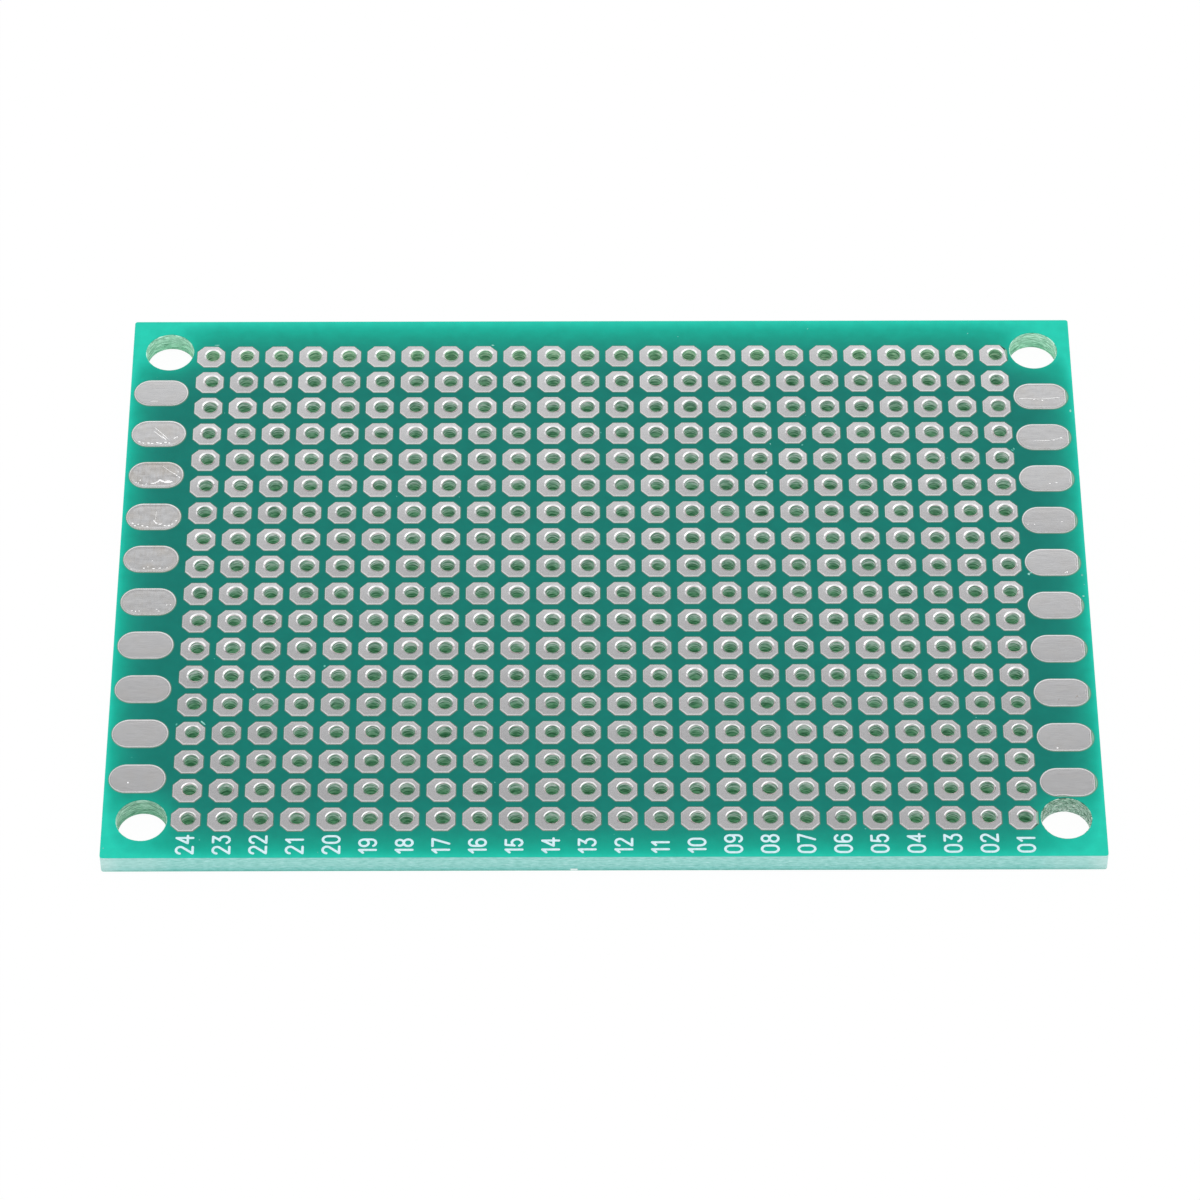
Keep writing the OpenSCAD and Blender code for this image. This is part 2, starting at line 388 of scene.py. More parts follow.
def foil_distance(tree, mm):
    """How far a point of the mask lies outside the nearest pad's foil, in millimetres, and below
    0 over the foil. The grid pads repeat at their pitch, and so do the long pads of each side."""
    parts = add(tree, "ShaderNodeSeparateXYZ", {0: mm})
    pitch = PITCH * TO_MM
    first = Vector((FIRST_X, FIRST_Y, 0)) * TO_MM
    shifted = add(tree, "ShaderNodeVectorMath", {0: mm, 1: -first}, operation="ADD")[0]
    cell = add(
        tree, "ShaderNodeVectorMath",
        {0: shifted, 1: (pitch / 2, pitch / 2, 1.0), 2: (-pitch / 2, -pitch / 2, -1.0)},
        operation="WRAP"
    )[0]
    cell = add(tree, "ShaderNodeVectorMath", {0: cell}, operation="ABSOLUTE")[0]
    across = add(tree, "ShaderNodeSeparateXYZ", {0: cell})
    half = PAD_WIDTH * TO_MM / 2
    widest = add(tree, "ShaderNodeMath", {0: across["X"], 1: across["Y"]}, operation="MAXIMUM")[0]
    straight = add(tree, "ShaderNodeMath", {0: widest, 1: half}, operation="SUBTRACT")[0]
    both = add(tree, "ShaderNodeMath", {0: across["X"], 1: across["Y"]}, operation="ADD")[0]
    corner = add(
        tree, "ShaderNodeMath",
        {0: both, 1: math.sqrt(0.5), 2: -(2 * half - PAD_CUT * TO_MM) * math.sqrt(0.5)},
        operation="MULTIPLY_ADD"
    )[0]
    edge = add(tree, "ShaderNodeMath", {0: straight, 1: corner}, operation="MAXIMUM")[0]
    # The pattern of octagons ends half a pitch past the outer pads
    middle = first - Vector((len(columns) - 1, ROWS - 1, 0)) * pitch / 2
    reach = Vector((len(columns), ROWS, 0)) * pitch / 2
    off = add(tree, "ShaderNodeVectorMath", {0: mm, 1: middle}, operation="SUBTRACT")[0]
    off = add(tree, "ShaderNodeVectorMath", {0: off}, operation="ABSOLUTE")[0]
    off = add(tree, "ShaderNodeVectorMath", {0: off, 1: reach}, operation="SUBTRACT")[0]
    off = add(tree, "ShaderNodeSeparateXYZ", {0: off})
    past = add(tree, "ShaderNodeMath", {0: off["X"], 1: off["Y"]}, operation="MAXIMUM")[0]
    nearest = add(tree, "ShaderNodeMath", {0: edge, 1: past}, operation="MAXIMUM")[0]
    for names in (left_pads, right_pads):
        low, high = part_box(names[0])
        step = (low.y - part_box(names[1])[0].y) * TO_MM
        centre = (low + high) / 2 * TO_MM
        centre.x += math.copysign(LONG_OUT, centre.x) * TO_MM
        bar = ((LONG_LENGTH - LONG_WIDTH) / 2 + LONG_MORE) * TO_MM
        radius = (LONG_WIDTH / 2 + LONG_GROW) * TO_MM
        along = add(tree, "ShaderNodeMath", {0: parts["X"], 1: centre.x}, operation="SUBTRACT")[0]
        along = add(tree, "ShaderNodeMath", {0: along}, operation="ABSOLUTE")[0]
        along = add(tree, "ShaderNodeMath", {0: along, 1: bar}, operation="SUBTRACT")[0]
        along = add(tree, "ShaderNodeMath", {0: along, 1: 0.0}, operation="MAXIMUM")[0]
        aside = add(tree, "ShaderNodeMath", {0: parts["Y"], 1: centre.y}, operation="SUBTRACT")[0]
        aside = add(tree, "ShaderNodeMath", {0: aside, 1: step / 2, 2: -step / 2}, operation="WRAP")[0]
        flat = add(tree, "ShaderNodeCombineXYZ", {"X": along, "Y": aside})[0]
        edge = add(tree, "ShaderNodeVectorMath", {0: flat}, operation="LENGTH")["Value"]
        edge = add(tree, "ShaderNodeMath", {0: edge, 1: radius}, operation="SUBTRACT")[0]
        middle_y = centre.y - step * (len(names) - 1) / 2
        past = add(tree, "ShaderNodeMath", {0: parts["Y"], 1: middle_y}, operation="SUBTRACT")[0]
        past = add(tree, "ShaderNodeMath", {0: past}, operation="ABSOLUTE")[0]
        past = add(tree, "ShaderNodeMath", {0: past, 1: step * len(names) / 2}, operation="SUBTRACT")[0]
        edge = add(tree, "ShaderNodeMath", {0: edge, 1: past}, operation="MAXIMUM")[0]
        nearest = add(tree, "ShaderNodeMath", {0: nearest, 1: edge}, operation="MINIMUM")[0]
    return nearest


def mask_material():
    """Solder mask, a thin translucent green epoxy ink, cured to a satin. It is dark over the
    middle and glows where daylight comes through the sheet's sides and mounting holes.
    Over bare foil it turns olive."""
    material, tree, shader, mm = new_material("green_solder_mask")
    parts = add(tree, "ShaderNodeSeparateXYZ", {0: mm})
    side = add(tree, "ShaderNodeMath", {0: parts["X"]}, operation="ABSOLUTE")[0]
    from_side = add(tree, "ShaderNodeMath", {0: BOARD_X * TO_MM, 1: side}, operation="SUBTRACT")[0]
    from_front = add(tree, "ShaderNodeMath", {0: parts["Y"], 1: BOARD_Y * TO_MM}, operation="ADD")[0]
    from_back = add(
        tree, "ShaderNodeMath", {0: BOARD_Y * TO_MM, 1: parts["Y"]}, operation="SUBTRACT"
    )[0]
    from_hole = hole_distance(tree, mm)
    light = glow(tree, from_side, 1.0, 0.95)
    others = ((from_front, 1.65, 0.92), (from_back, 2.05, 1.0), (from_hole, 1.0, 0.38))
    for distance, length, strength in others:
        more = glow(tree, distance, length, strength)
        light = add(tree, "ShaderNodeMath", {0: light, 1: more}, operation="ADD")[0]
    green = add(
        tree, "ShaderNodeValToRGB", {"Fac": light},
        [
            (0.03, "0D786C"), (0.12, "118174"), (0.35, "129784"), (0.63, "12AD96"), (0.9, "20C5AD"),
            (1.0, "24CEB4")
        ]
    )[0]
    # Pigment is a little uneven, in blots of about 1 mm
    blots = add(
        tree, "ShaderNodeTexNoise", {"Vector": mm, "Scale": 1.1, "Detail": 4.0, "Roughness": 0.6}
    )["Fac"]
    green = shaded(tree, green, blots, [(0.3, "F2F2F2"), (0.7, "FFFFFF")])
    # The mask laps the foil by a few hundredths on the right and near sides of each window
    lapped = add(tree, "ShaderNodeVectorMath", {0: mm, 1: (-0.02, 0.02, 0)}, operation="ADD")[0]
    distance = foil_distance(tree, lapped)
    # Seen from the underside, the pads are soft shadows in the sheet
    upper = add(
        tree, "ShaderNodeMath", {0: parts["Z"], 1: SHEET_TOP / 2 * TO_MM}, operation="GREATER_THAN"
    )[0]
    shadow = add(
        tree, "ShaderNodeMapRange",
        {"Value": distance, "From Min": 0.3, "From Max": -0.2, "To Min": 0.0, "To Max": 0.5}
    )[0]
    under = add(tree, "ShaderNodeMath", {0: 1.0, 1: upper}, operation="SUBTRACT")[0]
    shadow = add(tree, "ShaderNodeMath", {0: shadow, 1: under}, operation="MULTIPLY")[0]
    green = add(tree, "ShaderNodeMix", {0: shadow, 6: green, 7: linear("0B5F55")}, data_type="RGBA")[2]
    olive = add(
        tree, "ShaderNodeMapRange",
        {"Value": distance, "From Min": 0.03, "From Max": -0.03, "To Min": 0.0, "To Max": 1.0}
    )[0]
    olive = add(tree, "ShaderNodeMath", {0: olive, 1: upper}, operation="MULTIPLY")[0]
    foil_depth = add(
        tree, "ShaderNodeMapRange", {"Value": distance, "From Min": -0.03, "From Max": -0.07}
    )[0]
    lap = add(
        tree, "ShaderNodeMix", {0: foil_depth, 6: linear("648270"), 7: linear("8AB8A2")},
        data_type="RGBA"
    )[2]
    colour = add(tree, "ShaderNodeMix", {0: olive, 6: green, 7: lap}, data_type="RGBA")[2]
    bump = add(tree, "ShaderNodeBump", {"Height": blots, "Strength": 0.1, "Distance": 0.05 * MM})[0]
    fill(tree, shader, {"Base Color": colour, "Normal": bump, "Roughness": 0.3})
    fill(tree, shader, {"IOR": 1.5, "Specular IOR Level": 0.1})
    return material


def tin_material(name, rim_width, rim_highlight_colour, stretch, scuffs):
    """Tin from a hot-air leveller: a satin grey metal, with a painted highlight that makes its thin
    rim paler and a fine line of painted shade inside it. Its grain is drawn out by the stretch,
    and where the pad is worn, scuffs run across it and dull it."""
    material, tree, shader, mm = new_material(name)
    inset = add(tree, "ShaderNodeAttribute", attribute_name="inset")["Fac"]
    tone = add(tree, "ShaderNodeAttribute", attribute_name="tone")["Fac"]
    inset = add(tree, "ShaderNodeMath", {0: inset, 1: rim_width * TO_MM}, operation="DIVIDE")[0]
    inset = add(tree, "ShaderNodeMath", {0: inset, 1: 0.1}, operation="MULTIPLY")[0]
    # Painted highlight: the rim is paler than the crown, and a fine line of painted shade lies inside it
    bands = add(
        tree, "ShaderNodeValToRGB", {"Fac": inset},
        [
            (0.0, "62806F"), (0.025, "76897B"), (0.045, rim_highlight_colour), (0.095, rim_highlight_colour),
            (0.112, "A8A6A7"), (0.13, "B4B3B4"), (0.16, "BCBCBD")
        ]
    )[0]
    drawn = add(tree, "ShaderNodeMapping", {"Vector": mm, "Scale": stretch})[0]
    grain = add(
        tree, "ShaderNodeTexNoise", {"Vector": drawn, "Scale": 1.0, "Detail": 3.0, "Roughness": 0.7}
    )["Fac"]
    colour = shaded(tree, bands, grain, [(0.3, "F3F3F4"), (0.5, "FBFBFB"), (0.7, "FFFFFF")])
    # Dull smudges on the near side of the holes, more of them towards the front: partly flux, and partly
    # painted shade on the lip slopes that face the back
    lip = add(tree, "ShaderNodeAttribute", attribute_name="lip")["Fac"]
    by_hole = add(tree, "ShaderNodeMapRange", {"Value": lip, "From Min": 0.3, "From Max": 0.12})[0]
    smudge_and_shade = add(tree, "ShaderNodeTexNoise", {"Vector": mm, "Scale": 2.6, "Detail": 2.0})["Fac"]
    smudge_and_shade = add(tree, "ShaderNodeMapRange", {"Value": smudge_and_shade, "From Min": 0.54, "From Max": 0.62})[0]
    lean = add(tree, "ShaderNodeNewGeometry")["Normal"]
    lean = add(tree, "ShaderNodeSeparateXYZ", {0: lean})["Y"]
    near_side = add(tree, "ShaderNodeMapRange", {"Value": lean, "From Min": -0.02, "From Max": 0.06})[0]
    y = add(tree, "ShaderNodeSeparateXYZ", {0: mm})["Y"]
    towards_front = add(
        tree, "ShaderNodeMapRange",
        {"Value": y, "From Min": 20.0, "From Max": -20.0, "To Min": 0.3, "To Max": 0.85}
    )[0]
    for share in (by_hole, near_side, towards_front):
        smudge_and_shade = add(tree, "ShaderNodeMath", {0: smudge_and_shade, 1: share}, operation="MULTIPLY")[0]
    colour = add(
        tree, "ShaderNodeMix", {0: smudge_and_shade, 6: colour, 7: linear("7A7478")}, data_type="RGBA"
    )[2]
    shade = add(tree, "ShaderNodeMapRange", {"Value": tone, "To Min": 0.94, "To Max": 1.04})[0]
    colour = add(tree, "ShaderNodeVectorMath", {0: colour, "Scale": shade}, operation="SCALE")[0]
    slanted = add(
        tree, "ShaderNodeMapping", {"Vector": mm, "Scale": (7.0, 1.2, 1.0), "Rotation": (0, 0, 0.12)}
    )[0]
    marks = add(tree, "ShaderNodeTexNoise", {"Vector": slanted, "Scale": 1.0, "Detail": 3.0})["Fac"]
    wear = add(tree, "ShaderNodeAttribute", attribute_name="wear")["Fac"]
    rough = add(tree, "ShaderNodeMath", {0: wear, 1: wear}, operation="MULTIPLY")[0]
    # Worn pads have tarnished in warm patches, and the scuffs are dull
    warm = add(tree, "ShaderNodeTexNoise", {"Vector": mm, "Scale": 0.7, "Detail": 3.0})["Fac"]
    for pattern, share, code in ((warm, wear, "B4AA9A"), (marks, rough, "A5A09A")):
        cover = add(
            tree, "ShaderNodeMapRange",
            {"Value": pattern, "From Min": 0.45, "From Max": 0.7, "To Max": 0.3}
        )[0]
        cover = add(tree, "ShaderNodeMath", {0: cover, 1: share}, operation="MULTIPLY")[0]
        colour = add(tree, "ShaderNodeMix", {0: cover, 6: colour, 7: linear(code)}, data_type="RGBA")[2]
    relief = add(tree, "ShaderNodeMath", {0: marks, 1: rough, 2: grain}, operation="MULTIPLY_ADD")[0]
    bump = add(tree, "ShaderNodeBump", {"Height": relief, "Strength": scuffs, "Distance": 0.01 * MM})[0]
    fill(tree, shader, {"Base Color": colour, "Normal": bump, "Metallic": 1.0, "Roughness": 0.2})
    return material


def bead_material():
    """Bare tin that scuffing has pushed up and polished: brighter than the tin round it."""
    return plain_material(
        "polished_tin", {"Scale": 6.0}, [(0.3, "EEEDED"), (0.7, "FCFCFC")],
        {"Metallic": 1.0, "Roughness": 0.25}
    )


def flux_material():
    """Dried flux: a dull brown film."""
    return plain_material(
        "dried_flux", {"Scale": 8.0}, [(0.35, "7E766D"), (0.65, "A8A29C")], {"Roughness": 0.6}
    )


def ink_material():
    """White legend ink, screen-printed epoxy: matt, and thin enough for the mask to tint it."""
    return plain_material(
        "white_legend_ink", {"Scale": 6.0, "Detail": 2.0}, [(0.3, "C4E2EA"), (0.6, "D8F0F6")],
        {"Roughness": 0.55, "IOR": 1.5, "Specular IOR Level": 0.2}
    )


def dust_material():
    """Dust and flecks of tin that lie on the mask: pale and matt."""
    return plain_material(
        "pale_dust", {"Scale": 2.0}, [(0.4, "4FAE9F"), (0.6, "93D2C7")], {"Roughness": 0.7}
    )


# Shapes of the grid pads and the long pads


def octagon(inset):
    """Corners of a grid pad's outline, smaller all round by inset, anticlockwise."""
    half = PAD_WIDTH / 2 - inset
    cut = half - PAD_CUT + inset * (2 - math.sqrt(2))
    right = [(half, -cut), (half, cut), (cut, half), (-cut, half)]
    return right + [(-x, -y) for x, y in right]


def circle(radii):
    """Points round the lead hole, one for each radius."""
    step = 2 * math.pi / len(radii)
    turns = [(k - 1.5) * step for k in range(len(radii))]
    return [
        (DRILL_OFF.x + r * math.cos(t), DRILL_OFF.y + r * math.sin(t)) for r, t in zip(radii, turns)
    ]


def capsule(inset, arc_steps=22, bar_steps=12):
    """Points of a long pad's outline, smaller all round by inset, anticlockwise."""
    radius = LONG_WIDTH / 2 + LONG_GROW - inset
    bar = (LONG_LENGTH - LONG_WIDTH) / 2 + LONG_MORE
    turns = [math.pi * (k / arc_steps - 0.5) for k in range(arc_steps + 1)]
    half = [(bar + radius * math.cos(t), radius * math.sin(t)) for t in turns]
    half += [(bar - 2 * bar * k / bar_steps, radius) for k in range(1, bar_steps)]
    return half + [(-x, -y) for x, y in half]


def band(outer, inner, outer_start, inner_start):
    """Faces between two rings, which face up where the second is the inner one.
    One ring may have twice the points of the other."""
    faces = []
    count = min(len(outer), len(inner))
    for i in range(count):
        j = (i + 1) % count
        if len(outer) == len(inner):
            faces.append((outer_start + i, outer_start + j, inner_start + j, inner_start + i))
        elif len(inner) > len(outer):
            pair = (inner_start + 2 * i, inner_start + 2 * i + 1)
            faces.append((outer_start + i, pair[1], pair[0]))
            faces.append((outer_start + i, outer_start + j, inner_start + 2 * j, pair[1]))
        else:
            pair = (outer_start + 2 * i, outer_start + 2 * i + 1)
            faces.append((pair[0], pair[1], inner_start + i))
            faces.append((pair[1], outer_start + 2 * j, inner_start + j, inner_start + i))
    return faces


def pad_shape(name, rings, creases, pierced):
    """A closed pad through rings of (points, height, inset, lip), from the foil's outline up and
    inwards. It is smooth from its first crease on, and a pierced pad ends in a hole."""
    places = []
    faces = []
    smooth = []
    starts = []
    insets = []
    lips = []
    for points, height, inset, lip in rings:
        starts.append(len(places))
        places += [(x, y, height) for x, y in points]
        insets += [inset * TO_MM] * len(points)
        lips += [lip * TO_MM] * len(points)
    for k in range(len(rings) - 1):
        made = band(rings[k][0], rings[k + 1][0], starts[k], starts[k + 1])
        faces += made
        smooth += [k >= creases[0]] * len(made)
    if pierced:
        made = band(rings[-1][0], rings[0][0], starts[-1], starts[0])
    else:
        made = [tuple(reversed(range(len(rings[0][0]))))]
    faces += made
    smooth += [False] * len(made)
    mesh = bpy.data.meshes.new(name)
    mesh.from_pydata(places, [], faces)
    mesh.attributes.new("inset", "FLOAT", "POINT").data.foreach_set("value", insets)
    mesh.attributes.new("lip", "FLOAT", "POINT").data.foreach_set("value", lips)
    mesh.polygons.foreach_set("use_smooth", smooth)
    for k in creases:
        ring = range(starts[k], starts[k] + len(rings[k][0]))
        for edge in mesh.edges:
            if edge.vertices[0] in ring and edge.vertices[1] in ring:
                edge.use_edge_sharp = True
    return mesh


def grid_pad(number, lip_size):
    """One of the grid pads' shapes: the same outline each time, with its own uneven lip."""
    chance = random.Random(number)
    sides = 16
    outer_lip = [LEAD_R + LIP_WIDTH * lip_size * chance.uniform(0.95, 1.15) for _ in range(sides)]
    middle_lip = [LEAD_R + LIP_WIDTH * chance.uniform(0.46, 0.56) for _ in range(sides)]
    crown = PAD_TOP - chance.uniform(0.0, 0.003) * MM
    sunk = chance.uniform(0.025, 0.032) * MM * lip_size
    step = RIM_WIDTH + CROWN_STEP
    return pad_shape(
        f"grid_pad_shape_{number}",
        [
            (octagon(0), SHEET_TOP, 0, FAR), (octagon(0), RIM_TOP, 0, FAR),
            (octagon(RIM_WIDTH), RIM_TOP, RIM_WIDTH, FAR),
            (octagon(step), RIM_TOP + 0.008 * MM, step, FAR),
            (circle(outer_lip), crown, FAR, LIP_WIDTH),
            (circle(middle_lip), crown - sunk, FAR, LIP_WIDTH / 2),
            (circle([LEAD_R * 1.08] * sides), SHEET_TOP, FAR, 0)
        ],
        creases=(3, 4, 6), pierced=True
    )


def long_pad():
    """The long pads' shape, with rings close enough for its tin to ripple."""
    step = LONG_RIM_WIDTH + CROWN_STEP
    rings = [
        (capsule(0), SHEET_TOP, 0, FAR), (capsule(0), LONG_RIM - 0.004 * MM, 0, FAR),
        (capsule(LONG_RIM_WIDTH), LONG_RIM, LONG_RIM_WIDTH, FAR),
        (capsule(step), LONG_TOP - LONG_EASE, step, FAR)
    ]
    steps = 10
    for k in range(1, steps + 1):
        inset = step + (LONG_WIDTH / 2 + LONG_GROW - step) * k / steps
        # The crown eases down to its edge
        ease = max(1 - k / 4, 0) ** 2
        rings.append((capsule(inset), LONG_TOP - LONG_EASE * ease, inset, FAR))
    mesh = pad_shape("long_pad_shape", rings, creases=(3,), pierced=False)
    solid = bmesh.new()
    solid.from_mesh(mesh)
    bmesh.ops.remove_doubles(solid, verts=solid.verts, dist=0.0001 * MM)
    solid.to_mesh(mesh)
    solid.free()
    return mesh


def pads_group():
    """Sets a pad on every point, stops its tin at the mask's window and ripples its crown."""
    tree, given = new_group(
        "tinned_pads",
        {
            "Shapes": "Collection", "Seed": "Int", "Ripple depth": "Float", "Ripple size": "Float",
            "Foil top": "Float", "Ring radius": "Float", "Ring centre": "Vector",
            "Ring shift": "Vector", "Border": "Float", "Edge width": "Float", "Finish": "Material"
        }
    )
    tone = add(
        tree, "FunctionNodeRandomValue", {2: 0.0, 3: 1.0, "Seed": given["Seed"]}, data_type="FLOAT"
    )[1]
    points = add(
        tree, "GeometryNodeStoreNamedAttribute",
        {"Geometry": given["Geometry"], "Name": "tone", "Value": tone}, data_type="FLOAT",
        domain="POINT"
    )[0]
    real = set_picked(tree, points, given["Shapes"], "kind", {})
    # From here on each point of the pads is moved
    place = add(tree, "GeometryNodeInputPosition")[0]
    height = add(tree, "ShaderNodeSeparateXYZ", {0: place})["Z"]
    inset = add(tree, "GeometryNodeInputNamedAttribute", {"Name": "inset"}, data_type="FLOAT")[0]
    wear = add(tree, "GeometryNodeInputNamedAttribute", {"Name": "wear"}, data_type="FLOAT")[0]
    inset = add(tree, "ShaderNodeMath", {0: inset, 1: MM}, operation="MULTIPLY")[0]
    edge = add(tree, "ShaderNodeMath", {0: inset, 1: given["Edge width"]}, operation="MINIMUM")[0]
    # All four mounting holes fold onto one, and what lies inside its ring moves out to it
    shifted = add(tree, "ShaderNodeVectorMath", {0: place, 1: given["Ring shift"]}, operation="ADD")[0]
    side = add(tree, "ShaderNodeVectorMath", {0: shifted}, operation="SIGN")[0]
    folded = add(tree, "ShaderNodeVectorMath", {0: shifted, 1: side}, operation="MULTIPLY")[0]
    folded = add(tree, "ShaderNodeVectorMath", {0: folded, 1: (1, 1, 0)}, operation="MULTIPLY")[0]
    away = add(
        tree, "ShaderNodeVectorMath", {0: folded, 1: given["Ring centre"]}, operation="SUBTRACT"
    )[0]
    far = add(tree, "ShaderNodeVectorMath", {0: away}, operation="LENGTH")["Value"]
    least = add(tree, "ShaderNodeMath", {0: given["Ring radius"], 1: edge}, operation="ADD")[0]
    grow = add(tree, "ShaderNodeMath", {0: least, 1: far}, operation="DIVIDE")[0]
    grow = add(tree, "ShaderNodeMath", {0: grow, 1: 1.0}, operation="MAXIMUM")[0]
    away = add(tree, "ShaderNodeVectorMath", {0: away, "Scale": grow}, operation="SCALE")[0]
    back = add(tree, "ShaderNodeVectorMath", {0: away, 1: given["Ring centre"]}, operation="ADD")[0]
    back = add(tree, "ShaderNodeVectorMath", {0: back, 1: side}, operation="MULTIPLY")[0]
    back = add(tree, "ShaderNodeVectorMath", {0: back, 1: given["Ring shift"]}, operation="SUBTRACT")[0]
    back = add(tree, "ShaderNodeSeparateXYZ", {0: back})
    stop = add(tree, "ShaderNodeMath", {0: given["Border"], 1: edge}, operation="SUBTRACT")[0]
    x = add(tree, "ShaderNodeMath", {0: back["X"], 1: stop}, operation="MINIMUM")[0]
    # The crown ripples down from its full height, and not near its edge
    scale = add(tree, "ShaderNodeMath", {0: 1.0, 1: given["Ripple size"]}, operation="DIVIDE")[0]
    ripple = add(
        tree, "ShaderNodeTexNoise", {"Vector": place, "Scale": scale, "Detail": 1.0, "Roughness": 0.5}
    )["Fac"]
    inner = add(tree, "ShaderNodeMath", {0: inset, 1: given["Edge width"]}, operation="SUBTRACT")[0]
    inner = add(
        tree, "ShaderNodeMapRange", {"Value": inner, "From Min": 0.0, "From Max": 2 * CROWN_STEP}
    )[0]
    drop = ripple
    for share in (given["Ripple depth"], wear, inner):
        drop = add(tree, "ShaderNodeMath", {0: drop, 1: share}, operation="MULTIPLY")[0]
    z = add(tree, "ShaderNodeMath", {0: height, 1: drop}, operation="SUBTRACT")[0]
    moved = add(tree, "ShaderNodeCombineXYZ", {"X": x, "Y": back["Y"], "Z": z})[0]
    above = add(
        tree, "FunctionNodeCompare", {0: height, 1: given["Foil top"]}, data_type="FLOAT",
        operation="GREATER_THAN"
    )[0]
    windowed = add(
        tree, "GeometryNodeSetPosition", {"Geometry": real, "Selection": above, "Position": moved}
    )[0]
    return end_group(tree, windowed, given["Finish"])


def points_mesh(name, places, **values):
    """Bare points, with one number for each of them under each of the given names."""
    mesh = bpy.data.meshes.new(name)
    mesh.from_pydata(places, [], [])
    for label, numbers in values.items():
        mesh.attributes.new(label, "FLOAT", "POINT").data.foreach_set("value", numbers)
    return mesh


# How rough the tin is on the worn long pads, counted from the back, and on all the others
LEFT_WEAR = {2: 0.8, 3: 1.4, 4: 1.2, 5: 1.0, 6: 0.85}
RIGHT_WEAR = {1: 0.7, 2: 0.5}
OTHER_WEAR = 0.3


def make_pads():
    """All the grid pads as one piece, and all the long pads as another."""
    tree = pads_group()
    window = {
        "Foil top": SHEET_TOP + FOIL, "Ring radius": WINDOW_RING, "Ring centre": (MOUNT_X, MOUNT_Y, 0),
        "Ring shift": (MASK_OFF, -MOUNT_MIDDLE_Y, 0), "Border": WINDOW_RIGHT
    }
    # The holes' lips are small in the front rows and large in the others
    kinds = 6
    small_lip = 0.75
    pads = [grid_pad(k, 1.0) for k in range(kinds)]
    pads += [grid_pad(k, small_lip) for k in range(kinds, 2 * kinds)]
    shapes = shape_collection("grid_pad_shapes", pads)
    chance = random.Random(3)
    places = []
    picks = []
    for row in range(ROWS):
        small = row > chance.uniform(0.65, 0.85) * ROWS
        for column in range(len(columns)):
            places.append((FIRST_X - column * PITCH, FIRST_Y - row * PITCH, 0))
            picks.append(chance.randrange(kinds) + kinds * small)
    grid = grown(
        "grid_pads", points_mesh("grid_points", places, kind=picks, wear=[0.0] * len(places)), tree,
        {
            **window, "Shapes": shapes, "Seed": 3, "Edge width": RIM_WIDTH + CROWN_STEP,
            "Ripple depth": 0.0, "Ripple size": 1.0 * MM,
            "Finish": tin_material("hot_air_levelled_tin", RIM_WIDTH, "CAC9CA", (5.0, 5.0, 5.0), 0.12)
        }
    )
    clear_shapes(shapes)
    shapes = shape_collection("long_pad_shapes", [long_pad()])
    boxes = [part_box(name) for name in left_pads + right_pads]
    middles = [(low + high) / 2 for low, high in boxes]
    places = [(m.x + math.copysign(LONG_OUT, m.x), m.y + LONG_BACK, 0) for m in middles]
    wear = [LEFT_WEAR.get(k, OTHER_WEAR) for k in range(1, len(left_pads) + 1)]
    wear += [RIGHT_WEAR.get(k, OTHER_WEAR) for k in range(1, len(right_pads) + 1)]
    long = grown(
        "long_pads", points_mesh("long_points", places, kind=[0] * len(places), wear=wear), tree,
        {
            **window, "Shapes": shapes, "Seed": 5, "Edge width": LONG_RIM_WIDTH + CROWN_STEP,
            "Ripple depth": 0.012 * MM, "Ripple size": 0.5 * MM,
            "Finish": tin_material("scuffed_tin", LONG_RIM_WIDTH, "DADADB", (1.2, 10.0, 1.0), 0.22)
        }
    )
    clear_shapes(shapes)
    return grid, long


